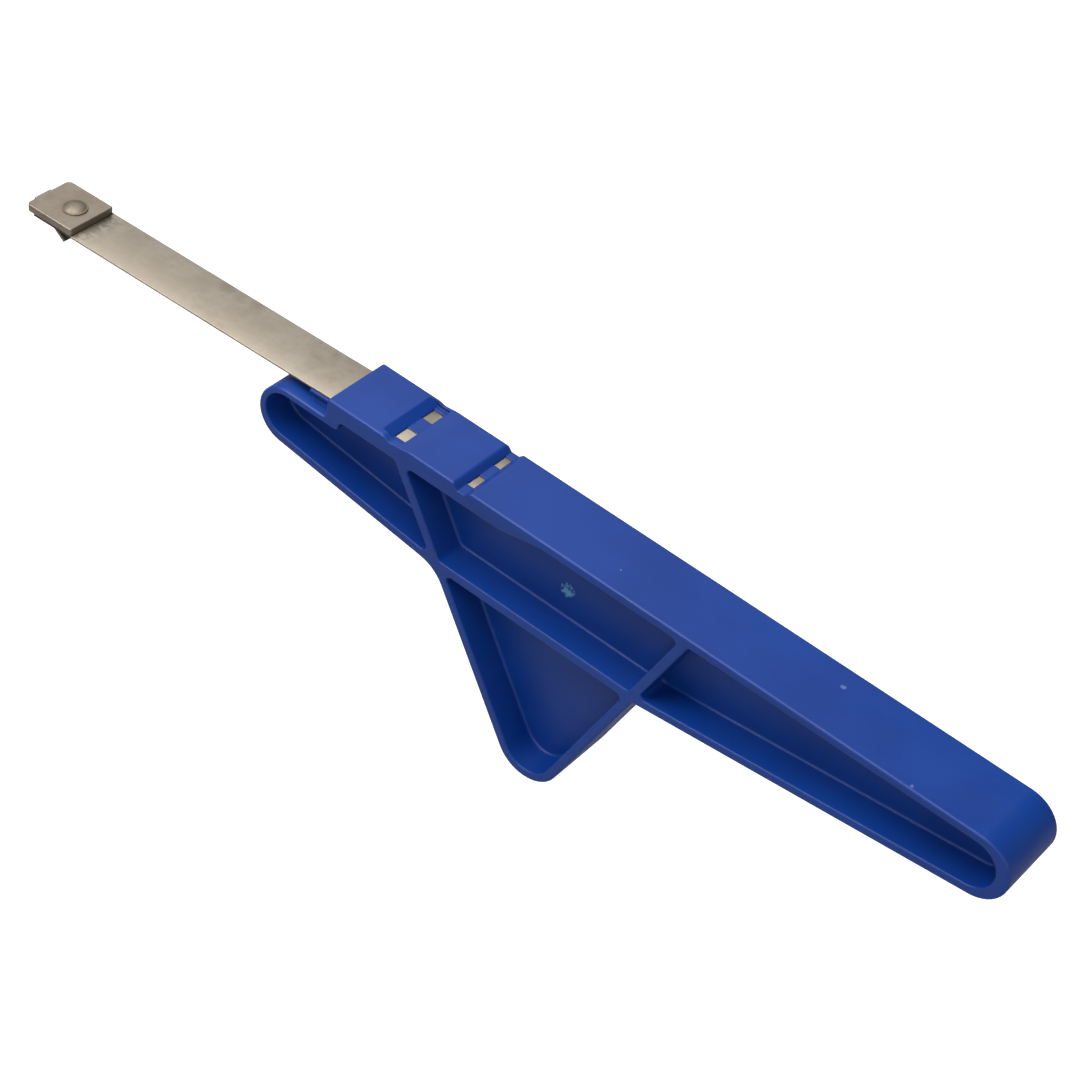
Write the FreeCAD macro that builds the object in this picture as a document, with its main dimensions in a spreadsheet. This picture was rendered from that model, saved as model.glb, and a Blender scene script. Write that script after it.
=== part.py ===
import FreeCAD, Part

import math
import os

import Sketcher

# Strip tool: a moulded handle with a finger fin, a spring steel blade moulded into
# the handle's front block, and two riveted plates that make the hook at its tip.
#
# Millimetres.  X runs along the tool with the handle's tail at +X, Y runs through
# its thickness and Z is up.  Handle sketches measure from the top front edge of the
# block; blade and head sketches measure from the blade's bend.  Each body's
# Placement then puts the origin at the centre of the tool's bounding box.

SIZES = {
    # handle outline
    "handle_width": 17.1,
    "tail_reach": 158.5,
    "tail_radius": 7.5,
    "nose_reach": 10.6,
    "nose_radius": 7.0,
    "nose_drop": 5.1,
    "belly_slope": 6.92,
    "fin_front_start": 15.9,
    "fin_front_angle": 56.4,
    "fin_rear_start": 93.0,
    "fin_rear_angle": 68.0,
    "fin_tip_radius": 8.1,
    "fin_root_radius": 8.5,
    "notch_radius": 0.8,
    "block_edge_radius": 0.7,
    "rim_round": 0.5,
    # walls and bays
    "wall": 2.1,
    "rib": 2.1,
    "web": 2.6,
    "rail": 1.9,
    "lobe_flange": 1.4,
    "lobe_step": 3.6,
    "tail_bay_inset": 1.0,
    "bay_corner": 1.2,
    "bay_rim_round": 0.3,
    "bay_floor_round": 0.6,
    "roof_depth": 21.9,
    "roof": 2.3,
    "block_depth": 4.0,
    "block_tail": 2.0,
    "block_run_out": 10.0,
    # blade seat in the block
    "blade_offset": 0.6,
    "play": 0.02,
    "rest_reach": 6.5,
    "rest_thickness": 0.6,
    "rest_margin": 0.5,
    "stem_reach": 5.9,
    "stem_inset": 0.6,
    "bite": 1.0,
    "peg_radius": 1.6,
    "peg_play": 0.08,
    "first_peg": 10.0,
    "second_peg": 24.0,
    # grooves and windows in the block's top
    "valley_start": 14.8,
    "valley_length": 7.2,
    "valley_fall_angle": 20.0,
    "valley_rise_angle": 8.0,
    "valley_lip_round": 2.0,
    "valley_bottom_round": 3.0,
    "valley_exit_round": 12.0,
    "channel_start": 33.4,
    "channel_length": 4.5,
    "channel_fall_angle": 47.0,
    "channel_rise_angle": 43.0,
    "channel_lip_round": 1.0,
    "channel_exit_round": 0.7,
    "channel_cover": 0.2,
    "well_front_angle": 30.0,
    "well_rear_angle": 58.0,
    "well_margin": 1.3,
    "foot_round": 0.3,
    "first_window_inset": 0.9,
    "first_window_length": 2.7,
    "second_window_inset": 1.25,
    "second_window_length": 1.75,
    "window_inner": 2.2,
    "window_edge": 0.35,
    # blade
    "blade_width": 12.7,
    "blade_thickness": 0.5,
    "blade_depth": 1.5,
    "blade_bend": 16.0,
    "blade_tilt": 2.53,
    "blade_set_back": 2.4,
    "tang_reach": 28.0,
    # hook head, measured from the bend along the blade
    "plate_rear": 92.4,
    "plate_length": 13.6,
    "plate_thickness": 1.6,
    "plate_front_corner": 1.3,
    "plate_rear_corner": 0.5,
    "plate_round": 0.25,
    "lip_reach": 0.4,
    "lip_near": 3.5,
    "lip_far": 1.1,
    "hook_set_back": 3.0,
    "hook_rear_inset": 0.2,
    "tooth_inset": 6.1,
    "hook_inset": 0.8,
    "hook_thickness": 0.65,
    "hook_corner": 0.6,
    "hook_tongue_width": 6.0,
    "hook_slit": 0.2,
    "tooth_angle": 37.0,
    "tooth_length": 3.9,
    "rivet_inset": 5.1,
    "rivet_radius": 1.6,
    "rivet_play": 0.05,
    "rivet_head_radius": 2.8,
    "rivet_skirt": 0.3,
    "rivet_dome_radius": 2.45,
    "rivet_dome_height": 0.6,
    "rivet_dome_slope": 30.0,
    "rivet_crown_round": 4.2,
    "rivet_skirt_round": 0.12,
    "rivet_tail_radius": 2.3,
    "rivet_tail_height": 0.6,
}

# Sizes that follow from the ones above.
FOLLOWING = {
    "half_handle": "handle_width / 2",
    "half_web": "web / 2",
    "bay_depth": "half_handle - half_web",
    "fin_inner_radius": "fin_tip_radius - rib",
    "tail_bay_reach": "tail_reach - tail_bay_inset",
    "block_end": "blade_bend + tang_reach + block_tail",
    "first_window": "valley_start + first_window_inset",
    "second_window": "channel_start + second_window_inset",
    "first_window_end": "first_window + first_window_length",
    "valley_end": "valley_start + valley_length",
    "channel_end": "channel_start + channel_length",
    "slot_width": "blade_width + 2 * play",
    "rest_width": "blade_width + 2 * rest_margin",
    "stem_width": "rest_width - 2 * stem_inset",
    "channel_depth": "blade_depth - channel_cover",
    "window_outer": "blade_width / 2 - window_edge",
    "well_width": "2 * (window_outer + well_margin)",
    "half_plate": "blade_width / 2",
    "hook_width": "blade_width - 2 * hook_inset",
    "half_hook": "hook_width / 2",
    "half_tongue": "hook_tongue_width / 2",
    "plate_front": "plate_rear + plate_length",
    "blade_reach": "plate_front - blade_set_back",
    "hook_front": "plate_front - hook_set_back",
    "hook_rear": "plate_rear + hook_rear_inset",
    "hook_root": "plate_rear + tooth_inset",
    "rivet_reach": "plate_rear + rivet_inset",
    "hook_top": "blade_thickness + play",
    "hook_bottom": "hook_top + hook_thickness",
    "rivet_seat": "plate_thickness + 2 * play",
    "rivet_skirt_top": "rivet_seat + rivet_skirt",
    "rivet_top": "rivet_skirt_top + rivet_dome_height",
    "rivet_foot": "hook_bottom + play",
    "rivet_bottom": "rivet_foot + rivet_tail_height",
    "hole_radius": "rivet_radius + rivet_play",
    "peg_hole_radius": "peg_radius + peg_play",
}

doc = FreeCAD.newDocument("strip_tool")
sheet = doc.addObject("Spreadsheet::Sheet", "Sizes")
entries = [(alias, str(value)) for alias, value in SIZES.items()]
entries += [(alias, "=" + rule) for alias, rule in FOLLOWING.items()]
for row, (alias, text) in enumerate(entries, start=1):
    sheet.set("A%d" % row, alias)
    sheet.set("B%d" % row, text)
    sheet.setAlias("B%d" % row, alias)
doc.recompute()

# Slanted guide lines: where each one is anchored, and its angle to +X.
GUIDES = {
    "fin_front": ("fin_front_start", "0", "- fin_front_angle"),
    "fin_rear": ("fin_rear_start", "0", "fin_rear_angle"),
    "lobe_belly": ("- nose_reach", "- nose_drop - nose_radius", "- belly_slope"),
    "tail_belly": ("tail_reach", "- tail_radius", "belly_slope"),
    "tang": ("0", "0", "- blade_tilt"),
    "tang_end": ("0", "0", "90 - blade_tilt"),
    "tooth": ("- hook_root", "- hook_bottom", "- tooth_angle"),
    "tooth_end": ("- hook_root", "- hook_bottom", "90 - tooth_angle"),
    "valley_fall": ("valley_start", "0", "- valley_fall_angle"),
    "valley_rise": ("valley_end", "0", "valley_rise_angle"),
    "channel_fall": ("channel_start", "0", "- channel_fall_angle"),
    "channel_rise": ("channel_end", "0", "channel_rise_angle"),
    "well_front": ("first_window", "- channel_depth", "- well_front_angle"),
    "well_rear": ("first_window_end", "- channel_depth", "well_rear_angle"),
    "dome": ("rivet_dome_radius", "rivet_skirt_top", "- rivet_dome_slope"),
}


def formula(text):
    """An expression for a sum such as 'hook_top - play', with sheet sizes by name."""
    words = [w if w in "+-" or w[0].isdigit() else "Sizes." + w for w in text.split()]
    return " ".join(words)


def value(text):
    """The number such a sum stands for, read back from the sheet."""
    result, sign = 0.0, 1.0
    for word in text.split():
        if word in "+-":
            sign = -1.0 if word == "-" else 1.0
            continue
        result += sign * (float(word) if word[0].isdigit() else float(sheet.get(word)))
        sign = 1.0
    return result


# ---------------------------------------------------------------- plane geometry
def flat(x, y):
    return FreeCAD.Vector(x, y, 0)


def heading(degrees):
    return flat(math.cos(math.radians(degrees)), math.sin(math.radians(degrees)))


def side_line(side):
    """Base point and direction of a side: a guide's name and its offset to the left."""
    name, offset = side
    if name == "level":
        return flat(0, value(offset)), heading(0)
    if name == "upright":
        return flat(value(offset), 0), heading(90)
    if name == "joining":
        start, end = (flat(value(x), value(y)) for x, y, _ in offset)
        return start, (end - start).normalize()
    x, y, angle = (value(text) for text in GUIDES[name])
    along = heading(angle)
    return flat(x, y) + flat(-along.y, along.x) * value(offset), along


def meet(first, second):
    """Point where two sides cross."""
    (p, u), (q, w) = side_line(first), side_line(second)
    gap = q - p
    return p + u * ((gap.x * w.y - gap.y * w.x) / (u.x * w.y - u.y * w.x))


def round_corner(corner, back, onward, rounding):
    """Ends and centre of the arc that rounds a corner, and its radius.

    A rounding is a size's name, or ('centred', text) for an arc whose centre is held
    at a distance along X and whose radius follows.
    """
    before, after = (back - corner).normalize(), (onward - corner).normalize()
    half = before.getAngle(after) / 2
    middle = (before + after).normalize()
    if isinstance(rounding, tuple):
        distance = (value(rounding[1]) - corner.x) / middle.x
        radius = distance * math.sin(half)
    else:
        radius = value(rounding)
        distance = radius / math.sin(half)
    reach = radius / math.tan(half)
    return corner + before * reach, corner + after * reach, corner + middle * distance, radius


# ---------------------------------------------------------------- sketches
def plane_of(body, role):
    return next(f for f in body.Origin.OriginFeatures if f.Role == role)


def new_sketch(body, name, plane="XZ_Plane", lift=None):
    """A sketch on one of the body's planes, moved along the plane's normal by a sum."""
    sketch = body.newObject("Sketcher::SketchObject", name)
    sketch.AttachmentSupport = [(plane_of(body, plane), "")]
    sketch.MapMode = "FlatFace"
    if lift:
        sketch.setExpression("AttachmentOffset.Base.z", formula(lift))
    return sketch


def bind(sketch, constraint, expression):
    """Add a dimension whose value follows an expression of the sheet's sizes."""
    index = sketch.addConstraint(constraint)
    name = "size_%d" % index
    sketch.renameConstraint(index, name)
    sketch.setExpression("Constraints." + name, expression)


def tie(sketch, kind, geometry, end, text):
    """Hold a point at a distance from an axis; a zero distance puts it on the axis."""
    if abs(value(text)) < 1e-9:
        axis = -2 if kind == "DistanceX" else -1
        sketch.addConstraint(Sketcher.Constraint("PointOnObject", geometry, end, axis))
        return
    held = Sketcher.Constraint(kind, -1, 1, geometry, end, value(text))
    bind(sketch, held, formula(text))


def tie_line(sketch, line, side, points):
    """Give a drawn line the direction and the distance that its side asks for."""
    name, offset = side
    if name in ("level", "upright"):
        level = name == "level"
        direction = "Horizontal" if level else "Vertical"
        sketch.addConstraint(Sketcher.Constraint(direction, line))
        tie(sketch, "DistanceY" if level else "DistanceX", line, 1, offset)
        return
    if name == "joining":
        for end, (x, y, kind) in zip((1, 2), offset):
            tie(sketch, kind, line, end, x if kind == "DistanceX" else y)
        return
    anchor_x, anchor_y, angle = GUIDES[name]
    if name not in points:
        spot = flat(value(anchor_x), value(anchor_y))
        points[name] = sketch.addGeometry(Part.Point(spot), True)
        tie(sketch, "DistanceX", points[name], 1, anchor_x)
        tie(sketch, "DistanceY", points[name], 1, anchor_y)
    drawn = sketch.Geometry[line]
    run = drawn.EndPoint - drawn.StartPoint
    turn = "" if run.dot(heading(value(angle))) > 0 else "180 "
    swung = (turn + ("+ " if turn and not angle.startswith("-") else "") + angle).strip()
    held = Sketcher.Constraint("Angle", line, math.radians(value(swung)))
    bind(sketch, held, "(%s) * 1 deg" % formula(swung))
    if abs(value(offset)) < 1e-9:
        on_line = Sketcher.Constraint("PointOnObject", points[name], 1, line)
        sketch.addConstraint(on_line)
        return
    apart = Sketcher.Constraint("Distance", points[name], 1, line, abs(value(offset)))
    bind(sketch, apart, "abs(%s)" % formula(offset))


def draw_loop(sketch, loop, points):
    """Draw and tie one closed loop: a list of sides with the rounding before each."""
    sides = [side for side, _ in loop]
    count = len(loop)
    corners = [meet(sides[i - 1], sides[i]) for i in range(count)]
    ends = []
    for i, (_, rounding) in enumerate(loop):
        if rounding is None:
            ends.append((corners[i], corners[i], None, None))
        else:
            back, onward = corners[i - 1], corners[(i + 1) % count]
            ends.append(round_corner(corners[i], back, onward, rounding))
    lines = []
    for i in range(count):
        segment = Part.LineSegment(ends[i][1], ends[(i + 1) % count][0])
        lines.append(sketch.addGeometry(segment, False))
    for i, (_, rounding) in enumerate(loop):
        before, after = lines[i - 1], lines[i]
        start, end, centre, radius = ends[i]
        if rounding is None:
            sketch.addConstraint(Sketcher.Constraint("Coincident", before, 2, after, 1))
            continue
        swing = [math.atan2(p.y - centre.y, p.x - centre.x) for p in (start, end)]
        leftward = (start - centre).cross(end - centre).z > 0
        if not leftward:
            swing.reverse()
        circle = Part.Circle(centre, FreeCAD.Vector(0, 0, 1), radius)
        arc = sketch.addGeometry(Part.ArcOfCircle(circle, *swing), False)
        near, far = (1, 2) if leftward else (2, 1)
        sketch.addConstraint(Sketcher.Constraint("Tangent", before, 2, arc, near))
        sketch.addConstraint(Sketcher.Constraint("Tangent", arc, far, after, 1))
        if isinstance(rounding, tuple):
            tie(sketch, "DistanceX", arc, 3, rounding[1])
        else:
            bind(sketch, Sketcher.Constraint("Radius", arc, radius), formula(rounding))
    for line, side in zip(lines, sides):
        tie_line(sketch, line, side, points)


def loops_sketch(body, name, loops, plane="XZ_Plane", lift=None):
    sketch = new_sketch(body, name, plane, lift)
    points = {}
    for loop in loops:
        draw_loop(sketch, loop, points)
    return sketch


def box_loop(left, right, low, high):
    """A rectangle between four sums."""
    sides = [("level", low), ("upright", right), ("level", high), ("upright", left)]
    return [(side, None) for side in sides]


def circles_sketch(body, name, places, radius, lift=None):
    """Circles of one radius, centred along X, on the body's XY plane."""
    sketch = new_sketch(body, name, "XY_Plane", lift)
    for place in places:
        shape = Part.Circle(flat(value(place), 0), FreeCAD.Vector(0, 0, 1), value(radius))
        circle = sketch.addGeometry(shape, False)
        tie(sketch, "DistanceX", circle, 3, place)
        tie(sketch, "DistanceY", circle, 3, "0")
        bind(sketch, Sketcher.Constraint("Radius", circle, value(radius)), formula(radius))
    return sketch


# ---------------------------------------------------------------- features
def new_body(label):
    body = doc.addObject("PartDesign::Body", label)
    body.Label = label
    return body


def extrude(body, kind, name, sketch, length, sides="One side", flip=False):
    feature = body.newObject("PartDesign::" + kind, name)
    feature.Profile = sketch
    feature.SideType = sides
    feature.Reversed = flip
    feature.setExpression("Length", formula(length))
    sketch.Visibility = False
    doc.recompute()
    return feature


def drill(body, name, places, radius):
    """Round holes right through a plate."""
    sketch = circles_sketch(body, name + "Sketch", places, radius)
    hole = body.newObject("PartDesign::Pocket", name)
    hole.Profile = sketch
    hole.SideType = "Symmetric"
    hole.Length = 60.0
    doc.recompute()
    return hole


def round_edges(body, name, radius, chosen):
    """Round every edge of the body so far that the test picks out."""
    edges = body.Shape.Edges
    names = ["Edge%d" % i for i, edge in enumerate(edges, start=1) if chosen(edge)]
    base = body.Tip
    feature = body.newObject("PartDesign::Fillet", name)
    feature.Base = (base, names)
    feature.setExpression("Radius", formula(radius))
    doc.recompute()
    return feature


def lies_at(edge, level, axis="Y"):
    """True for an edge that stays at one place along an axis."""
    ends = (getattr(edge.BoundBox, axis + "Min"), getattr(edge.BoundBox, axis + "Max"))
    return all(abs(end - level) < 1e-4 for end in ends)


# ---------------------------------------------------------------- handle
OUTLINE = [
    (("upright", "0"), "block_edge_radius"),
    (("level", "- nose_drop"), "block_edge_radius"),
    (("lobe_belly", "- nose_radius"), "nose_radius"),
    (("fin_front", "0"), "fin_root_radius"),
    (("fin_rear", "0"), "fin_tip_radius"),
    (("tail_belly", "- tail_radius"), "notch_radius"),
    (("level", "0"), "tail_radius"),
]

LOBE_BAY = [
    (("level", "- nose_drop - lobe_flange"), "bay_corner"),
    (("lobe_belly", "wall - nose_radius"), ("centred", "- nose_reach")),
    (("fin_front", "0"), "bay_corner"),
    (("level", "- block_depth"), "bay_corner"),
    (("upright", "lobe_step"), "bay_corner"),
]

RUN_OUT = (
    ("block_end + block_run_out", "- rail", "DistanceX"),
    ("block_end", "- block_depth", "DistanceX"),
)

MIDDLE_BAY = [
    (("fin_front", "rib"), "bay_corner"),
    (("level", "- roof_depth"), "bay_corner"),
    (("fin_rear", "rib"), "bay_corner"),
    (("level", "- rail"), "bay_corner"),
    (("joining", RUN_OUT), None),
    (("level", "- block_depth"), None),
]

TAIL_BAY = [
    (("fin_rear", "0"), "bay_corner"),
    (("tail_belly", "wall - tail_radius"), "bay_corner"),
    (("level", "- rail"), ("centred", "tail_bay_reach")),
]

FIN_BAY = [
    (("fin_front", "rib"), "bay_corner"),
    (("fin_rear", "rib"), "fin_inner_radius"),
    (("level", "- roof_depth - roof"), "bay_corner"),
]


def make_handle():
    body = new_body("handle")
    outline = loops_sketch(body, "Outline", [OUTLINE])
    extrude(body, "Pad", "Blank", outline, "handle_width", "Symmetric")
    half = value("half_handle")
    round_edges(body, "Rim", "rim_round", lambda e: lies_at(e, half) or lies_at(e, -half))

    bays = [LOBE_BAY, MIDDLE_BAY, TAIL_BAY, FIN_BAY]
    near = loops_sketch(body, "BaySketch", bays, lift="half_web")
    pocket = extrude(body, "Pocket", "Bays", near, "bay_depth", flip=True)
    mirrored = body.newObject("PartDesign::Mirrored", "FarBays")
    mirrored.Originals = [pocket]
    mirrored.MirrorPlane = (plane_of(body, "XZ_Plane"), [""])
    body.Tip = mirrored
    doc.recompute()
    floor = value("half_web")
    inset = value("rim_round")
    round_edges(
        body, "BayFloors", "bay_floor_round", lambda e: lies_at(e, floor) or lies_at(e, -floor)
    )
    round_edges(
        body,
        "BayRims",
        "bay_rim_round",
        lambda e: (lies_at(e, half) or lies_at(e, -half)) and inside_rim(e, inset),
    )
    add_rest(body)
    cut_slot(body)
    cut_top(body)
    return body


def inside_rim(edge, inset):
    """True when an edge lies further inside the outline than the rim's rounding."""
    spot = edge.valueAt((edge.FirstParameter + edge.LastParameter) / 2)
    face = Part.Face(Part.Wire(Part.__sortEdges__(doc.Outline.Shape.Edges)))
    probe = Part.Vertex(FreeCAD.Vector(spot.x, 0, spot.z))
    border = face.OuterWire.distToShape(probe)[0]
    return border > inset + 0.05


def tilt_with_blade(sketch):
    """Put a handle sketch in the blade's own frame, at the bend."""
    sketch.AttachmentOffset = FreeCAD.Placement(
        FreeCAD.Vector(value("blade_bend"), -value("blade_depth"), -value("blade_offset")),
        FreeCAD.Rotation(FreeCAD.Vector(0, 0, 1), value("blade_tilt")),
    )
    sketch.setExpression("AttachmentOffset.Base.x", formula("blade_bend"))
    sketch.setExpression("AttachmentOffset.Base.y", formula("- blade_depth"))
    sketch.setExpression("AttachmentOffset.Base.z", formula("- blade_offset"))
    sketch.setExpression("AttachmentOffset.Rotation.Angle", "Sizes.blade_tilt * 1 deg")


def add_rest(body):
    """The shelf that carries the blade in front of the block, and its support wall."""
    shelf = loops_sketch(
        body,
        "RestSketch",
        [
            box_loop(
                "- blade_bend - rest_reach",
                "- blade_bend + bite",
                "- hook_top - rest_thickness",
                "- hook_top",
            )
        ],
    )
    tilt_with_blade(shelf)
    extrude(body, "Pad", "Rest", shelf, "rest_width", "Symmetric")
    stem = loops_sketch(
        body,
        "StemSketch",
        [box_loop("- stem_reach", "bite", "- nose_drop - lobe_flange", "- block_depth + bite")],
        lift="- blade_offset",
    )
    extrude(body, "Pad", "Stem", stem, "stem_width", "Symmetric")


def cut_slot(body):
    """Room for the blade: its straight tang and the part that slopes out of the block."""
    tang = loops_sketch(
        body,
        "TangSketch",
        [
            box_loop(
                "blade_bend - play",
                "blade_bend + tang_reach + play",
                "- blade_depth - hook_top",
                "- blade_depth + play",
            )
        ],
        lift="- blade_offset",
    )
    extrude(body, "Pocket", "TangSlot", tang, "slot_width", "Symmetric")
    mouth = loops_sketch(
        body,
        "MouthSketch",
        [box_loop("- blade_bend - rest_reach - bite", "play", "- hook_top", "play")],
    )
    tilt_with_blade(mouth)
    extrude(body, "Pocket", "Mouth", mouth, "slot_width", "Symmetric")
    pegs = circles_sketch(
        body,
        "PegSketch",
        ["blade_bend + first_peg", "blade_bend + second_peg"],
        "peg_radius",
        "- blade_depth - hook_top - play",
    )
    pegs.setExpression("AttachmentOffset.Base.y", formula("blade_offset"))
    extrude(body, "Pad", "Pegs", pegs, "hook_top + play + play + play")


def window_loops(start, length):
    sides = [("- window_outer", "- window_inner"), ("window_inner", "window_outer")]
    return [box_loop(start, start + " + " + length, low, high) for low, high in sides]


VALLEY = [
    (("level", "0"), None),
    (("valley_fall", "0"), "valley_lip_round"),
    (("valley_rise", "0"), "valley_bottom_round"),
    (("level", "0"), "valley_exit_round"),
    (("upright", "valley_end + bite + bite"), None),
    (("level", "bite"), None),
    (("upright", "valley_start - bite - bite"), None),
]

CHANNEL = [
    (("level", "0"), None),
    (("channel_fall", "0"), "channel_lip_round"),
    (("level", "- channel_depth"), "foot_round"),
    (("channel_rise", "0"), "foot_round"),
    (("level", "0"), "channel_exit_round"),
    (("upright", "channel_end + bite + bite"), None),
    (("level", "bite"), None),
    (("upright", "channel_start - bite - bite"), None),
]

WELL = [
    (("well_front", "0"), None),
    (("level", "- channel_depth"), "foot_round"),
    (("well_rear", "0"), "foot_round"),
    (("level", "bite"), None),
]


def cut_top(body):
    """The valley, its well and the channel across the block, and the blade's windows."""
    valley = loops_sketch(body, "ValleySketch", [VALLEY])
    extrude(body, "Pocket", "Valley", valley, "handle_width + bite", "Symmetric")
    channel = loops_sketch(body, "ChannelSketch", [CHANNEL])
    extrude(body, "Pocket", "Channel", channel, "handle_width + bite", "Symmetric")
    well = loops_sketch(body, "WellSketch", [WELL], lift="- blade_offset")
    extrude(body, "Pocket", "Well", well, "well_width", "Symmetric")
    loops = window_loops("first_window", "first_window_length")
    loops += window_loops("second_window", "second_window_length")
    sketch = loops_sketch(body, "WindowSketch", loops, "XY_Plane", "- blade_depth - play")
    sketch.setExpression("AttachmentOffset.Base.y", formula("blade_offset"))
    extrude(body, "Pocket", "Windows", sketch, "blade_depth + play + bite", flip=True)


# ---------------------------------------------------------------- blade and head
BLADE_PROFILE = [
    (("level", "0"), None),
    (("upright", "- blade_reach"), None),
    (("level", "- blade_thickness"), None),
    (("tang", "- blade_thickness"), None),
    (("tang_end", "- tang_reach"), None),
    (("tang", "0"), None),
]

PLATE_PLAN = [
    (("upright", "- plate_rear"), "plate_rear_corner"),
    (("level", "half_plate"), "plate_rear_corner"),
    (("upright", "- plate_front"), "plate_front_corner"),
    (("level", "lip_far"), None),
    (("upright", "- plate_front - lip_reach"), None),
    (("level", "- lip_near"), None),
    (("upright", "- plate_front"), None),
    (("level", "- half_plate"), "plate_front_corner"),
]

HOOK_PLAN = [
    (("upright", "- hook_rear"), "hook_corner"),
    (("level", "half_tongue"), "hook_corner"),
    (("upright", "- hook_root"), None),
    (("level", "half_hook"), None),
    (("upright", "- hook_front"), "hook_corner"),
    (("level", "- half_hook"), "hook_corner"),
    (("upright", "- hook_root"), None),
    (("level", "- half_tongue"), None),
]

TOOTH_PROFILE = [
    (("tooth", "0"), None),
    (("tooth_end", "- tooth_length"), None),
    (("tooth", "hook_thickness"), None),
    (("level", "- hook_top"), None),
    (("upright", "- hook_root - bite"), None),
    (("level", "- hook_bottom"), None),
]

RIVET_PROFILE = [
    (("level", "- rivet_bottom"), None),
    (("upright", "rivet_tail_radius"), None),
    (("level", "- rivet_foot"), None),
    (("upright", "rivet_radius"), None),
    (("level", "rivet_seat"), None),
    (("upright", "rivet_head_radius"), None),
    (("level", "rivet_skirt_top"), "rivet_skirt_round"),
    (("dome", "0"), None),
    (("level", "rivet_top"), "rivet_crown_round"),
    (("upright", "0"), None),
]


def make_blade():
    body = new_body("blade")
    profile = loops_sketch(body, "BladeProfile", [BLADE_PROFILE])
    extrude(body, "Pad", "Strip", profile, "blade_width", "Symmetric")
    drill(body, "PegHoles", ["first_peg", "second_peg"], "peg_hole_radius")
    drill(body, "BladeRivetHole", ["- rivet_reach"], "hole_radius")
    return body


def make_head_plate():
    body = new_body("head_plate")
    plan = loops_sketch(body, "PlatePlan", [PLATE_PLAN], "XY_Plane", "play")
    extrude(body, "Pad", "Plate", plan, "plate_thickness")
    top = value("plate_thickness + play")
    round_edges(body, "PlateEdges", "plate_round", lambda e: lies_at(e, top, "Z"))
    drill(body, "PlateRivetHole", ["- rivet_reach"], "hole_radius")
    return body


def make_hook_plate():
    body = new_body("hook_plate")
    profile = loops_sketch(body, "ToothProfile", [TOOTH_PROFILE])
    extrude(body, "Pad", "Teeth", profile, "hook_width", "Symmetric")
    middle = loops_sketch(
        body,
        "ToothGap",
        [
            box_loop(
                "- hook_front",
                "- hook_rear",
                "- half_tongue - hook_slit",
                "half_tongue + hook_slit",
            )
        ],
        "XY_Plane",
    )
    extrude(body, "Pocket", "Gap", middle, "hook_front", "Symmetric")
    plan = loops_sketch(body, "HookPlan", [HOOK_PLAN], "XY_Plane", "- hook_bottom")
    extrude(body, "Pad", "HookBase", plan, "hook_thickness")
    drill(body, "HookRivetHole", ["- rivet_reach"], "hole_radius")
    return body


def make_rivet():
    body = new_body("rivet")
    profile = loops_sketch(body, "RivetProfile", [RIVET_PROFILE])
    turned = body.newObject("PartDesign::Revolution", "Turned")
    turned.Profile = profile
    turned.ReferenceAxis = (profile, ["V_Axis"])
    turned.Angle = 360.0
    doc.recompute()
    return body


# ---------------------------------------------------------------- assembly
def centre_of_box():
    """Centre of the whole tool's bounding box, in the handle sketches' frame."""
    tilt = math.radians(value("blade_tilt"))
    reach = value("plate_front + lip_reach")
    rise = value("plate_thickness + play - plate_round")
    front = value("blade_bend") - reach * math.cos(tilt) - rise * math.sin(tilt)
    rear = value("tail_reach + tail_radius")
    corner = meet(("fin_front", "0"), ("fin_rear", "0"))
    back = meet(("fin_front", "0"), ("level", "0"))
    onward = meet(("fin_rear", "0"), ("level", "0"))
    low = round_corner(corner, back, onward, "fin_tip_radius")[2].y - value("fin_tip_radius")
    return FreeCAD.Vector((front + rear) / 2, 0, low / 2)


def place(body, spot, tilt=0.0):
    body.Placement = FreeCAD.Placement(
        spot, FreeCAD.Rotation(FreeCAD.Vector(0, 1, 0), -tilt)
    )


bodies = [make_handle(), make_blade(), make_head_plate(), make_hook_plate(), make_rivet()]
centre = centre_of_box()
tilt = value("blade_tilt")
bend = FreeCAD.Vector(value("blade_bend"), value("blade_offset"), -value("blade_depth"))
slide = FreeCAD.Rotation(FreeCAD.Vector(0, 1, 0), -tilt)
place(bodies[0], centre * -1)
for body in bodies[1:4]:
    place(body, bend - centre, tilt)
along = slide.multVec(FreeCAD.Vector(-value("rivet_reach"), 0, 0))
place(bodies[4], bend + along - centre, tilt)
doc.recompute()

for item in doc.Objects:
    if "Invalid" in item.State or "Error" in item.State:
        raise RuntimeError("%s did not compute: %s" % (item.Label, item.State))
os.makedirs("parts", exist_ok=True)
for body in bodies:
    shape = body.Shape
    if shape.isNull() or not shape.isValid() or len(shape.Solids) != 1:
        raise RuntimeError("%s is not one sound solid" % body.Label)
    shape.exportStep("parts/%s.step" % body.Label)
    box = shape.BoundBox
    print(body.Label, len(shape.Faces), round(shape.Volume, 1), box)
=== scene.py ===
"""Hook-ended strip tool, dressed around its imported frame.

Everything is in metres in the frame's own axes: X from the hook tip to the handle's
tail, Y through the thickness and Z up.
"""

import math

import bmesh
import bpy
from mathutils import Matrix, Vector, noise


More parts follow.
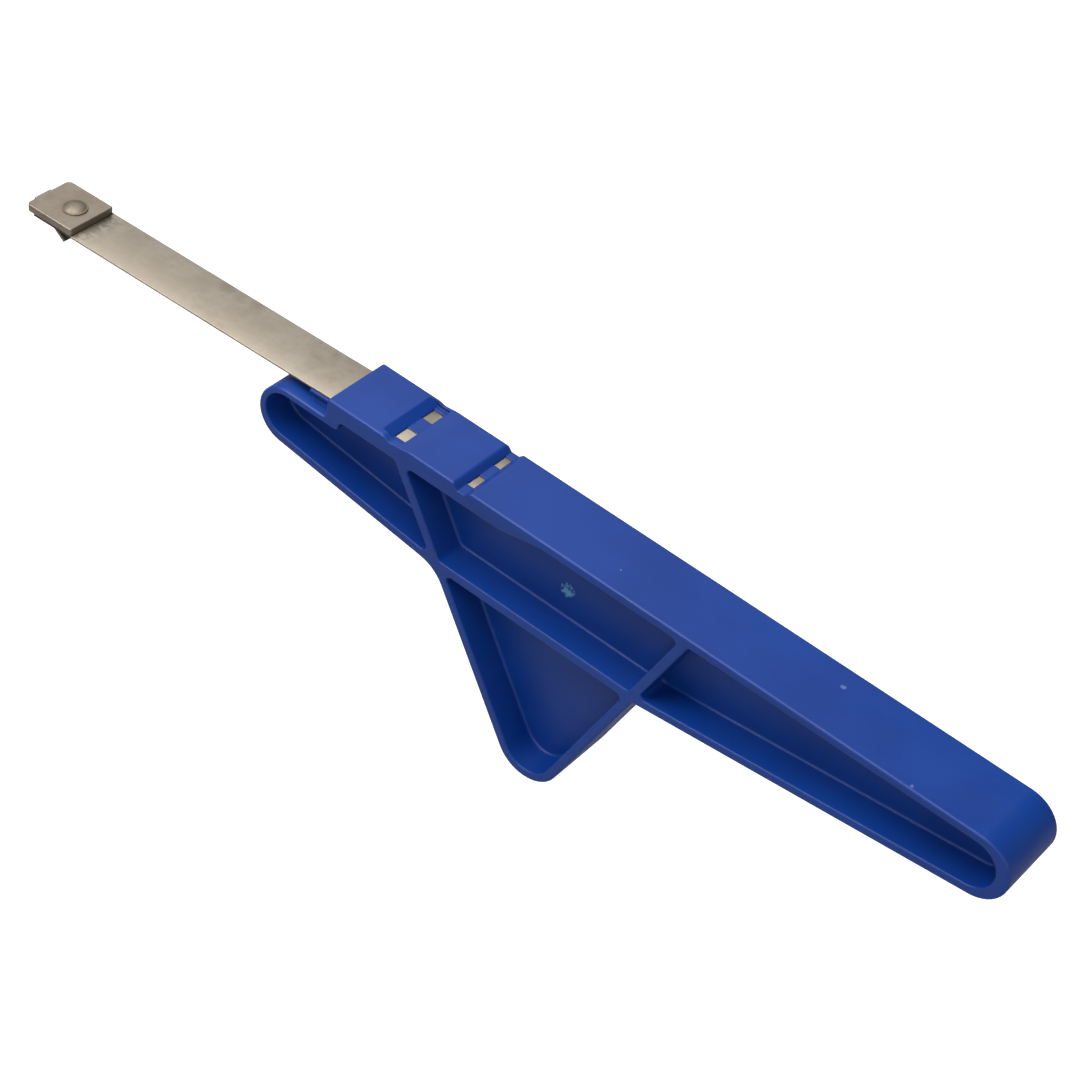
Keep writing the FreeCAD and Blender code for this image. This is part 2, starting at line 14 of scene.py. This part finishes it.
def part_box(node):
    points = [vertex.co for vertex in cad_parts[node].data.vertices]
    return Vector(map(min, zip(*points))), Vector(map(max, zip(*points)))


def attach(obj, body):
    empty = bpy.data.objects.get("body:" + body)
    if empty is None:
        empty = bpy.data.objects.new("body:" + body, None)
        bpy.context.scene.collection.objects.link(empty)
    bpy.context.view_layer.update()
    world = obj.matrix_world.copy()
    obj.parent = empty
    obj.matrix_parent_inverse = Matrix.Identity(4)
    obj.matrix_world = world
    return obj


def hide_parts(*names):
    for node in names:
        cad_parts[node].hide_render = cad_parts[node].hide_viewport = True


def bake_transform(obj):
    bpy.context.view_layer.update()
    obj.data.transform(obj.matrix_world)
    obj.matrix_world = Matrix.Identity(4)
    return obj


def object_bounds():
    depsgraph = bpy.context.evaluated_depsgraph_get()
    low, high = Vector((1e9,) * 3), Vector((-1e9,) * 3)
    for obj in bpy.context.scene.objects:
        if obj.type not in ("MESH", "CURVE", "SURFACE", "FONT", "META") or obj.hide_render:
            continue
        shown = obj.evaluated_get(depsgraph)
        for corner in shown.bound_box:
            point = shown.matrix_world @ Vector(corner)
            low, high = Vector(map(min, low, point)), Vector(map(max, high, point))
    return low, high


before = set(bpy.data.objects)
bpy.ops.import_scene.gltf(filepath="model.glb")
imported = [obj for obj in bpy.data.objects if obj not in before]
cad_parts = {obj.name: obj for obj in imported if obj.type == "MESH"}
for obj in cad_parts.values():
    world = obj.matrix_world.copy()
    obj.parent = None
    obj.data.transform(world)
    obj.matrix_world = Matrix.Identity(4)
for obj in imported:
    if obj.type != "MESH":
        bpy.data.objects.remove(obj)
CAD_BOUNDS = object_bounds()

MM = 0.001


def srgb(red, green, blue):
    """Linear colour with alpha from an 8-bit sRGB one."""
    linear = []
    for channel in (red, green, blue):
        part = channel / 255
        linear.append(part / 12.92 if part <= 0.04045 else ((part + 0.055) / 1.055) ** 2.4)
    return (*linear, 1.0)


# ---------------------------------------------------------------- camera and studio sizes
CAMERA_AZIMUTH = 31.73
CAMERA_ELEVATION = 42.97
CAMERA_ROLL = -10.95
CAMERA_PLACE = Vector((0.217137, -0.330940, 0.384954))
CAMERA_LENS = 89.74
CAMERA_SENSOR = 36.0
CAMERA_CLIP_START = 0.01

# name, place from the object's middle, size, watts
LIGHTS = [
    ("key", (-0.40, -0.24, 0.93), (1.0, 1.0), 14.2),
    ("behind", (-0.78, 0.702, 0.78), (1.0, 1.4), 2.7),
    ("front_fill", (0.25, -1.0, 0.42), (0.8, 0.8), 2.4),
    ("tail_fill", (0.9, -0.1, 0.4), (0.6, 0.6), 2.2),
]

WHITE = (1, 1, 1, 1)
WORLD_AS_LIGHT = 0.11
WORLD_TO_CAMERA = 1.0

FLOOR_DROP = 0.030
FLOOR_SIZE = 6.0
FLOOR_TONES = (0.34, 0.34, 0.34, 1), (0.36, 0.36, 0.36, 1)
FLOOR_GLOW = 0.95

# ---------------------------------------------------------------- colours
PLASTIC_TONES = srgb(2, 52, 134), srgb(5, 59, 144)
PLASTIC_WORN = srgb(70, 110, 180)
PLASTIC_NICKED = srgb(150, 178, 214)
TORN_TONES = srgb(8, 58, 134), srgb(92, 144, 192)

# light, dark and stained tone of each steel
STRIP_TONES = srgb(194, 184, 169), srgb(180, 169, 153), srgb(156, 144, 128)
PLATE_TONES = srgb(168, 157, 142), srgb(152, 141, 126), srgb(132, 120, 106)
RIVET_TONES = srgb(152, 142, 127), srgb(132, 121, 107), srgb(108, 97, 84)
HOOK_TONES = srgb(160, 150, 135), srgb(140, 129, 115), srgb(112, 101, 88)
STRIP_GRIME = srgb(112, 98, 84)
# dark foot of the strip behind the head plate: grime and painted shade in that corner
STRIP_FOOT_GRIME_AND_SHADE = srgb(62, 47, 35)
PLATE_GRIME = srgb(112, 99, 85)

# ---------------------------------------------------------------- surface sizes
PLASTIC_IOR = 1.47
PLASTIC_EDGE = 0.45 * MM
STEEL_EDGE = 0.12 * MM
BEVEL_SAMPLES = 6

ROLLED = (0.04, 1, 1)
UNROLLED = (1, 1, 1)

SCRATCH_STRETCH = (1.0, 14.0, 14.0)
SCRATCH_EDGE = 0.03

SPOT_TEAR = 2.4
SPOT_CORE = 0.45

# scuffs on the top face: place from the nose, place across, size, strength
SCUFFS = [
    (137.0 * MM, 3.5 * MM, 0.75 * MM, 0.28),
    (89.0 * MM, -3.0 * MM, 0.26 * MM, 0.4),
    (160.0 * MM, -7.6 * MM, 0.45 * MM, 0.28),
]

# how far grime has crept along the strip from the head plate's rear, and the dark foot of grime and
# painted shade in the corner against that rear
GRIME_START, GRIME_END = 0.3 * MM, 6.5 * MM
FOOT_START, FOOT_END = 0.05 * MM, 0.32 * MM

# ---------------------------------------------------------------- shapes
MERGE_DISTANCE = 1e-6
FLAT_ANGLE = 1.0
SHARP_ANGLE = 35.0
EDGE_SEGMENTS = 2
EDGE_PROFILE = 0.6
SHEET_SMOOTH_ANGLE = 40

STRIP_ROUND = 0.06 * MM
HOOK_ROUND = 0.07 * MM

MOUTH_FROM_NOSE = 11.0 * MM
RING_SPACING = 1.5 * MM

WEB_HALF = 1.3 * MM
SUNK = 0.15 * MM

# the gate mark: its place and size, then its outline, its raised rim and its roughness
GATE_FROM_NOSE = 77.3 * MM
GATE_DEPTH = 15.2 * MM
GATE_RADIUS = 1.9 * MM
GATE_HEIGHT = 0.32 * MM
GATE_ROWS = 7
GATE_SPOKES = 28
GATE_RAGGED = 0.09
GATE_RAGGED_SCALE = 1.7
GATE_RAGGED_SLICE = 3.1
GATE_FLOOR_SHARE = 0.35
GATE_RIM_SHARE = 0.9
GATE_RIM_PLACE = 0.72
GATE_RIM_WIDTH = 0.17
GATE_ROUGH_SHARE = 0.5
GATE_ROUGH_SIZE = 0.45 * MM
GATE_ROUGH_SHIFT = Vector((9, 2, 5))
GATE_FADE = 0.15
GATE_SMOOTH_ANGLE = 60

PIN_FROM_NOSE = 102.8 * MM
PIN_DEPTH = 22.6 * MM
PIN_RADIUS = 0.8 * MM
PIN_HEIGHT = 0.12 * MM
PIN_STEPS = 32
PIN_MERGE_DISTANCE = 1e-7
PIN_SMOOTH_ANGLE = 30
# shares of the radius and of the height, from the top's middle round to the base's
PIN_PROFILE = ((0.0, 1.0), (0.6, 1.0), (0.9, 0.6), (1.0, -1.0), (0.0, -1.0))


def add_object(name, data):
    thing = bpy.data.objects.new(name, data)
    bpy.context.scene.collection.objects.link(thing)
    return thing


# ---------------------------------------------------------------- camera and studio
def make_camera():
    """The camera stands where the photograph was taken from, tilted a little to one side."""
    azimuth, elevation = math.radians(CAMERA_AZIMUTH), math.radians(CAMERA_ELEVATION)
    forward = Vector(
        (
            -math.sin(azimuth) * math.cos(elevation),
            math.cos(azimuth) * math.cos(elevation),
            -math.sin(elevation),
        )
    )
    level = Vector((math.cos(azimuth), math.sin(azimuth), 0))
    upright = level.cross(forward)
    roll = math.radians(-CAMERA_ROLL)
    right = level * math.cos(roll) + upright * math.sin(roll)
    up = right.cross(forward)
    data = bpy.data.cameras.new("camera")
    data.lens = CAMERA_LENS
    data.sensor_width = CAMERA_SENSOR
    data.clip_start = CAMERA_CLIP_START
    camera = add_object("camera", data)
    turn = Matrix((right, up, -forward)).transposed().to_4x4()
    camera.matrix_world = Matrix.Translation(CAMERA_PLACE) @ turn
    bpy.context.scene.camera = camera


def make_area_light(name, place, aim, size, watts):
    data = bpy.data.lights.new(name, "AREA")
    data.shape = "RECTANGLE"
    data.size, data.size_y = size
    data.energy = watts
    light = add_object(name, data)
    light.location = place
    light.rotation_euler = (aim - place).to_track_quat("-Z", "Y").to_euler()


def make_world():
    """A world that is white to the camera and only a dim light to everything else."""
    world = bpy.data.worlds.new("studio")
    world.use_nodes = True
    nodes, links = world.node_tree.nodes, world.node_tree.links
    background = nodes["Background"]
    background.inputs["Color"].default_value = WHITE
    seen = nodes.new("ShaderNodeLightPath").outputs["Is Camera Ray"]
    level = nodes.new("ShaderNodeMapRange")
    level.inputs["To Min"].default_value = WORLD_AS_LIGHT
    level.inputs["To Max"].default_value = WORLD_TO_CAMERA
    links.new(seen, level.inputs["Value"])
    links.new(level.outputs["Result"], background.inputs["Strength"])
    bpy.context.scene.world = world


def make_floor(level):
    data = bpy.data.meshes.new("floor")
    corners = [
        (x * FLOOR_SIZE, y * FLOOR_SIZE, level)
        for x, y in ((-1, -1), (1, -1), (1, 1), (-1, 1))
    ]
    data.from_pydata(corners, [], [(0, 1, 2, 3)])
    data.update()
    floor = add_object("floor", data)
    floor.data.materials.append(floor_material())


def make_studio():
    """An overhead softbox, a dim one behind and two faint fills: in front and at the tail."""
    low, high = CAD_BOUNDS
    middle = (Vector(low) + Vector(high)) / 2
    for name, place, size, watts in LIGHTS:
        make_area_light(name, middle + Vector(place), middle, size, watts)
    make_world()
    bpy.context.scene.view_settings.view_transform = "Standard"
    make_floor(low[2] - FLOOR_DROP)


# ---------------------------------------------------------------- node helpers
class Shader:
    """A small wrapper that adds nodes to one material and links them by name."""

    def __init__(self, name):
        self.material = bpy.data.materials.new(name)
        self.material.use_nodes = True
        self.tree = self.material.node_tree
        self.surface = self.tree.nodes["Principled BSDF"]
        self.place = self.add("ShaderNodeTexCoord").outputs["Object"]

    def add(self, kind, **settings):
        node = self.tree.nodes.new(kind)
        for key, setting in settings.items():
            setattr(node, key, setting)
        return node

    def feed(self, target, source):
        """Link an output to a socket, or set the socket to a plain value."""
        if isinstance(source, bpy.types.NodeSocket):
            self.tree.links.new(source, target)
        else:
            target.default_value = source

    def noise(
        self, scale, detail=4.0, roughness=0.55, stretch=(1, 1, 1), shift=(0, 0, 0), turn=0.0
    ):
        """Cloudy noise: scale is per metre, and turn is in degrees about Z."""
        mapping = self.add("ShaderNodeMapping")
        mapping.inputs["Scale"].default_value = stretch
        mapping.inputs["Location"].default_value = shift
        mapping.inputs["Rotation"].default_value = (0, 0, math.radians(turn))
        self.feed(mapping.inputs["Vector"], self.place)
        node = self.add("ShaderNodeTexNoise")
        self.feed(node.inputs["Vector"], mapping.outputs["Vector"])
        node.inputs["Scale"].default_value = scale
        node.inputs["Detail"].default_value = detail
        node.inputs["Roughness"].default_value = roughness
        return node.outputs["Fac"]

    def ramp(self, source, low, high, start=0.0, end=1.0):
        """A smooth change from start to end while the source goes from low to high."""
        node = self.add("ShaderNodeMapRange")
        node.interpolation_type = "SMOOTHSTEP"
        self.feed(node.inputs["Value"], source)
        node.inputs["From Min"].default_value = low
        node.inputs["From Max"].default_value = high
        node.inputs["To Min"].default_value = start
        node.inputs["To Max"].default_value = end
        return node.outputs["Result"]

    def maths(self, operation, first, second):
        node = self.add("ShaderNodeMath", operation=operation)
        self.feed(node.inputs[0], first)
        self.feed(node.inputs[1], second)
        return node.outputs[0]

    def blend(self, amount, first, second):
        node = self.add("ShaderNodeMix", data_type="RGBA")
        self.feed(node.inputs["Factor"], amount)
        self.feed(node.inputs["A"], first)
        self.feed(node.inputs["B"], second)
        return node.outputs["Result"]

    def eased_edges(self, radius):
        """A normal that turns over the sharp edges, as a moulded or tumbled edge does."""
        node = self.add("ShaderNodeBevel", samples=BEVEL_SAMPLES)
        node.inputs["Radius"].default_value = radius
        return node.outputs["Normal"]

    def bump(self, height, distance, strength, below=None):
        node = self.add("ShaderNodeBump")
        node.inputs["Distance"].default_value = distance
        node.inputs["Strength"].default_value = strength
        self.feed(node.inputs["Height"], height)
        if below:
            self.feed(node.inputs["Normal"], below)
        return node.outputs["Normal"]

    def scratches(self, scale, angle, threshold, shift=(0, 0, 0)):
        """Thin, sparse straight marks: 1 on a mark and 0 elsewhere."""
        streak = self.noise(scale, 2.0, 0.5, stretch=SCRATCH_STRETCH, shift=shift, turn=angle)
        return self.ramp(streak, threshold, threshold + SCRATCH_EDGE)

    def spot(self, centre, reach, ragged):
        """A blotch with a torn outline: 1 at the centre, fading to 0 at its reach."""
        away = self.add("ShaderNodeVectorMath", operation="DISTANCE")
        self.feed(away.inputs[0], self.place)
        away.inputs[1].default_value = centre
        torn = self.maths("MULTIPLY", self.maths("SUBTRACT", ragged, 0.5), reach * SPOT_TEAR)
        far = self.maths("ADD", away.outputs["Value"], torn)
        return self.ramp(far, reach * SPOT_CORE, reach, 1, 0)

    def along(self, low, high, start=0.0, end=1.0):
        """A value that changes between two places along X."""
        split = self.add("ShaderNodeSeparateXYZ")
        self.feed(split.inputs[0], self.place)
        return self.ramp(split.outputs["X"], low, high, start, end)

    def facing(self, low, high):
        """1 on faces that look along +X, and 0 on the others."""
        split = self.add("ShaderNodeSeparateXYZ")
        self.feed(split.inputs[0], self.add("ShaderNodeTexCoord").outputs["Normal"])
        return self.ramp(split.outputs["X"], low, high)

    def finish(self, colour, roughness, normal, metallic=0.0, ior=1.5):
        self.feed(self.surface.inputs["Base Color"], colour)
        self.feed(self.surface.inputs["Roughness"], roughness)
        self.feed(self.surface.inputs["Normal"], normal)
        self.surface.inputs["Metallic"].default_value = metallic
        self.surface.inputs["IOR"].default_value = ior
        return self.material


# ---------------------------------------------------------------- materials
def floor_material():
    """A pale matt floor that glows to the camera alone, so it reads as a white sweep."""
    shader = Shader("pale_floor")
    grain = shader.noise(scale=60.0, detail=3.0)
    tone = shader.blend(grain, *FLOOR_TONES)
    seen = shader.add("ShaderNodeLightPath").outputs["Is Camera Ray"]
    glow = shader.maths("MULTIPLY", seen, FLOOR_GLOW)
    shader.surface.inputs["Emission Color"].default_value = WHITE
    shader.feed(shader.surface.inputs["Emission Strength"], glow)
    normal = shader.bump(grain, distance=0.2 * MM, strength=0.2)
    return shader.finish(tone, roughness=0.9, normal=normal)


def stub_material():
    """Torn plastic: the same blue, roughened and whitened along its ridges."""
    shader = Shader("torn_plastic")
    tear = shader.noise(scale=1100.0, detail=5.0, roughness=0.6)
    tone = shader.blend(shader.ramp(tear, low=0.42, high=0.58), *TORN_TONES)
    normal = shader.bump(tear, distance=0.1 * MM, strength=0.5)
    return shader.finish(tone, roughness=0.55, normal=normal)


def plastic_material():
    """Moulded blue plastic: a satin skin with faint flow, fine grain and light wear."""
    shader = Shader("blue_plastic")
    low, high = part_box("handle")
    cloud = shader.noise(scale=34.0, detail=4.0, roughness=0.55)
    grain = shader.noise(scale=1500.0, detail=3.0, roughness=0.6)
    swirl = shader.noise(scale=120.0, detail=5.0, roughness=0.6, stretch=(0.35, 1, 1))
    ragged = shader.noise(scale=1300.0, detail=4.0, roughness=0.7)
    marks = shader.scratches(scale=90.0, angle=18.0, threshold=0.735)
    fine = shader.scratches(scale=210.0, angle=-33.0, threshold=0.755, shift=(0.3, 0.1, 0.2))
    wear = shader.maths("MAXIMUM", marks, fine)
    base = shader.blend(shader.ramp(cloud, low=0.32, high=0.68), *PLASTIC_TONES)
    base = shader.blend(shader.maths("MULTIPLY", wear, 0.14), base, PLASTIC_WORN)
    for reach, across, size, strength in SCUFFS:
        centre = (low.x + reach, across, high.z)
        nick = shader.maths("MULTIPLY", shader.spot(centre, size, ragged), strength)
        base = shader.blend(nick, base, PLASTIC_NICKED)
    rough = shader.ramp(swirl, low=0.3, high=0.7, start=0.38, end=0.47)
    rough = shader.maths("ADD", rough, shader.maths("MULTIPLY", wear, 0.10))
    normal = shader.eased_edges(PLASTIC_EDGE)
    normal = shader.bump(grain, distance=0.04 * MM, strength=0.35, below=normal)
    normal = shader.bump(swirl, distance=0.3 * MM, strength=0.10, below=normal)
    normal = shader.bump(wear, distance=-0.03 * MM, strength=0.4, below=normal)
    return shader.finish(base, rough, normal, ior=PLASTIC_IOR)


class Steel(Shader):
    """Rolled or stamped steel: fine grain, cloudy stains and small pits."""

    def __init__(self, name, tones, grain_stretch, rough):
        super().__init__(name)
        light, dark, stain = tones
        self.grain = self.noise(scale=2600.0, detail=2.0, roughness=0.5, stretch=grain_stretch)
        self.cloud = self.noise(scale=120.0, detail=6.0, roughness=0.62)
        self.blotch = self.noise(scale=520.0, detail=5.0, roughness=0.7, shift=(0.3, 0.2, 0.6))
        patch = self.noise(scale=55.0, detail=6.0, roughness=0.66, shift=(0.13, 0.4, 0.2))
        speck = self.noise(scale=900.0, detail=2.0, roughness=0.5, shift=(0.5, 0.2, 0.1))
        self.pits = self.ramp(speck, low=0.70, high=0.76)
        tone = self.blend(self.ramp(self.cloud, low=0.38, high=0.62), light, dark)
        tone = self.blend(self.ramp(patch, low=0.52, high=0.66, end=0.50), tone, stain)
        tone = self.blend(self.ramp(self.blotch, low=0.60, high=0.72, end=0.30), tone, stain)
        tone = self.blend(self.maths("MULTIPLY", self.pits, 0.5), tone, stain)
        self.tone = self.blend(self.ramp(self.grain, low=0.3, high=0.8, end=0.18), tone, dark)
        self.rough = self.ramp(self.cloud, 0.3, 0.7, *rough)

    def dirt_and_shade(self, mask, colour):
        """Lay a matt, darker film over the steel where the mask says, for grime and for painted
        shade.
        """
        self.tone = self.blend(mask, self.tone, colour)
        self.rough = self.maths("ADD", self.rough, self.maths("MULTIPLY", mask, 0.12))

    def made(self):
        normal = self.eased_edges(STEEL_EDGE)
        normal = self.bump(self.grain, distance=0.03 * MM, strength=0.25, below=normal)
        normal = self.bump(self.cloud, distance=0.2 * MM, strength=0.08, below=normal)
        normal = self.bump(self.pits, distance=-0.04 * MM, strength=0.5, below=normal)
        return self.finish(self.tone, self.rough, normal, metallic=1.0)


def strip_material():
    """Cold-rolled strip, stained where grime has crept out from under the head plate, and darkened
    by grime and painted shade in the corner at the plate's rear.
    """
    steel = Steel("strip_steel", STRIP_TONES, ROLLED, rough=(0.32, 0.44))
    plate_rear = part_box("head_plate")[1].x
    near_head = steel.along(plate_rear + GRIME_START, plate_rear + GRIME_END, 1, 0)
    grime = steel.ramp(steel.blotch, low=0.44, high=0.56, end=0.60)
    steel.dirt_and_shade(steel.maths("MULTIPLY", near_head, grime), STRIP_GRIME)
    # the foot: a dark band right behind the plate's rear, where the plate meets the strip; grime
    # and painted shade
    foot = steel.along(plate_rear + FOOT_START, plate_rear + FOOT_END, 0.85, 0)
    steel.dirt_and_shade(foot, STRIP_FOOT_GRIME_AND_SHADE)
    return steel.made()


def plate_material():
    """Blanked plate: matt, with dark speckled grime on the sheared face at its rear."""
    steel = Steel("plate_steel", PLATE_TONES, UNROLLED, rough=(0.42, 0.54))
    fleck = steel.noise(scale=1700.0, detail=3.0, roughness=0.7)
    speckle = steel.ramp(fleck, low=0.48, high=0.62, end=0.40)
    rear = steel.facing(low=0.55, high=0.85)
    steel.dirt_and_shade(steel.maths("MULTIPLY", rear, speckle), PLATE_GRIME)
    return steel.made()


def rivet_material():
    """Upset rivet head: the mottled, dull surface that the setting tool leaves."""
    return Steel("rivet_steel", RIVET_TONES, UNROLLED, rough=(0.54, 0.66)).made()


def hook_material():
    """Stamped sheet under the tip, a little duller than the plate above it."""
    return Steel("hook_steel", HOOK_TONES, UNROLLED, rough=(0.38, 0.50)).made()


# ---------------------------------------------------------------- mesh helpers
def shade_by_angle(piece, degrees):
    """Smooth shading that keeps edges sharper than an angle."""
    piece.data.shade_smooth()
    piece.data.set_sharp_from_angle(angle=math.radians(degrees))


def softened_copy(node, name, round_size, cuts=()):
    """A copy of a CAD node with flat faces whole again and its sharp edges rounded.

    Cuts are places along X where the copy gets a ring of edges.
    """
    piece = add_object(name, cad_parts[node].data.copy())
    form = bmesh.new()
    form.from_mesh(piece.data)
    bmesh.ops.remove_doubles(form, verts=form.verts, dist=MERGE_DISTANCE)
    bmesh.ops.dissolve_limit(
        form, angle_limit=math.radians(FLAT_ANGLE), verts=form.verts, edges=form.edges
    )
    sharp = [
        edge
        for edge in form.edges
        if len(edge.link_faces) == 2 and edge.calc_face_angle(0) > math.radians(SHARP_ANGLE)
    ]
    bmesh.ops.bevel(
        form,
        geom=sharp,
        offset=round_size,
        segments=EDGE_SEGMENTS,
        profile=EDGE_PROFILE,
        affect="EDGES",
    )
    for place in cuts:
        everything = form.verts[:] + form.edges[:] + form.faces[:]
        bmesh.ops.bisect_plane(
            form, geom=everything, plane_co=(place, 0, 0), plane_no=(1, 0, 0)
        )
    bmesh.ops.triangulate(form, faces=[face for face in form.faces if len(face.verts) > 4])
    form.to_mesh(piece.data)
    form.free()
    piece.data.materials.clear()
    shade_by_angle(piece, SHEET_SMOOTH_ANGLE)
    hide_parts(node)
    return piece


# ---------------------------------------------------------------- blade
def make_blade():
    """The steel strip, with rings of edges along its free length."""
    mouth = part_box("handle")[0].x + MOUTH_FROM_NOSE
    plate_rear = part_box("head_plate")[1].x
    rings = int((mouth - plate_rear) / RING_SPACING)
    cuts = [plate_rear + (mouth - plate_rear) * i / rings for i in range(rings + 1)]
    blade = softened_copy("blade", "spring_blade", STRIP_ROUND, cuts)
    blade.data.materials.append(STRIP)
    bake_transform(blade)


# ---------------------------------------------------------------- moulding marks
def finish_mark(form, name, material, degrees):
    """Turn a mark's form into a piece that belongs to the handle's moulding."""
    data = bpy.data.meshes.new(name)
    form.to_mesh(data)
    form.free()
    mark = add_object(name, data)
    data.materials.append(material)
    shade_by_angle(mark, degrees)
    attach(mark, "handle")


def gate_point(row, spoke):
    """A point of the gate mark from its centre: a ragged disc with a torn, raised rim."""
    share = row / GATE_ROWS
    reach = GATE_RADIUS * share
    angle = 2 * math.pi * spoke / GATE_SPOKES
    around = Vector((math.cos(angle), math.sin(angle), GATE_RAGGED_SLICE))
    ragged = 1 + GATE_RAGGED * noise.noise(around * GATE_RAGGED_SCALE)
    spot = Vector((math.cos(angle) * reach * ragged, 0, math.sin(angle) * reach * ragged))
    rim = math.exp(-(((share - GATE_RIM_PLACE) / GATE_RIM_WIDTH) ** 2))
    crater = GATE_HEIGHT * (GATE_FLOOR_SHARE + GATE_RIM_SHARE * rim)
    tear = noise.noise(spot / GATE_ROUGH_SIZE + GATE_ROUGH_SHIFT)
    rough = GATE_ROUGH_SHARE * GATE_HEIGHT * tear
    fade = min(1.0, (1 - share) / GATE_FADE)
    spot.y = -(crater + rough) * fade + (SUNK if share == 1 else 0)
    return spot


def make_gate_mark():
    """The torn stub of the moulding gate on the web, a low rough disc."""
    low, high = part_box("handle")
    centre = Vector((low.x + GATE_FROM_NOSE, -WEB_HALF, high.z - GATE_DEPTH))
    form = bmesh.new()
    rings = []
    for row in range(GATE_ROWS + 1):
        spokes = range(GATE_SPOKES if row else 1)
        rings.append([form.verts.new(centre + gate_point(row, spoke)) for spoke in spokes])
    bottom = form.verts.new(centre + Vector((0, SUNK * 2, 0)))
    for spoke in range(GATE_SPOKES):
        after = (spoke + 1) % GATE_SPOKES
        form.faces.new((rings[0][0], rings[1][spoke], rings[1][after]))
        for first, second in zip(rings[1:], rings[2:]):
            form.faces.new((first[spoke], second[spoke], second[after], first[after]))
        form.faces.new((rings[-1][spoke], bottom, rings[-1][after]))
    bmesh.ops.recalc_face_normals(form, faces=form.faces)
    finish_mark(form, "gate_mark", stub_material(), GATE_SMOOTH_ANGLE)


def make_pin_mark():
    """The low round witness that an ejector pin left in the corner of the tail bay."""
    low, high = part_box("handle")
    form = bmesh.new()
    points = [form.verts.new((PIN_RADIUS * r, -PIN_HEIGHT * h, 0)) for r, h in PIN_PROFILE]
    edges = [form.edges.new(pair) for pair in zip(points, points[1:])]
    bmesh.ops.spin(
        form,
        geom=points + edges,
        cent=(0, 0, 0),
        axis=(0, 1, 0),
        angle=2 * math.pi,
        steps=PIN_STEPS,
        use_merge=True,
    )
    bmesh.ops.remove_doubles(form, verts=form.verts, dist=PIN_MERGE_DISTANCE)
    bmesh.ops.recalc_face_normals(form, faces=form.faces)
    place = Vector((low.x + PIN_FROM_NOSE, -WEB_HALF, high.z - PIN_DEPTH))
    bmesh.ops.translate(form, verts=form.verts, vec=place)
    finish_mark(form, "pin_mark", PLASTIC, PIN_SMOOTH_ANGLE)


make_camera()
make_studio()
PLASTIC = plastic_material()
STRIP = strip_material()
PLATE = plate_material()
RIVET = rivet_material()
HOOK = hook_material()
LOOKS = {"handle": PLASTIC, "blade": STRIP, "head_plate": PLATE, "hook_plate": HOOK, "rivet": RIVET}
for name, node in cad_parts.items():
    node.data.materials.clear()
    node.data.materials.append(LOOKS[name])
make_blade()
hook = softened_copy("hook_plate", "hook_sheet", HOOK_ROUND)
hook.data.materials.append(HOOK)
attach(hook, "head")
make_gate_mark()
make_pin_mark()
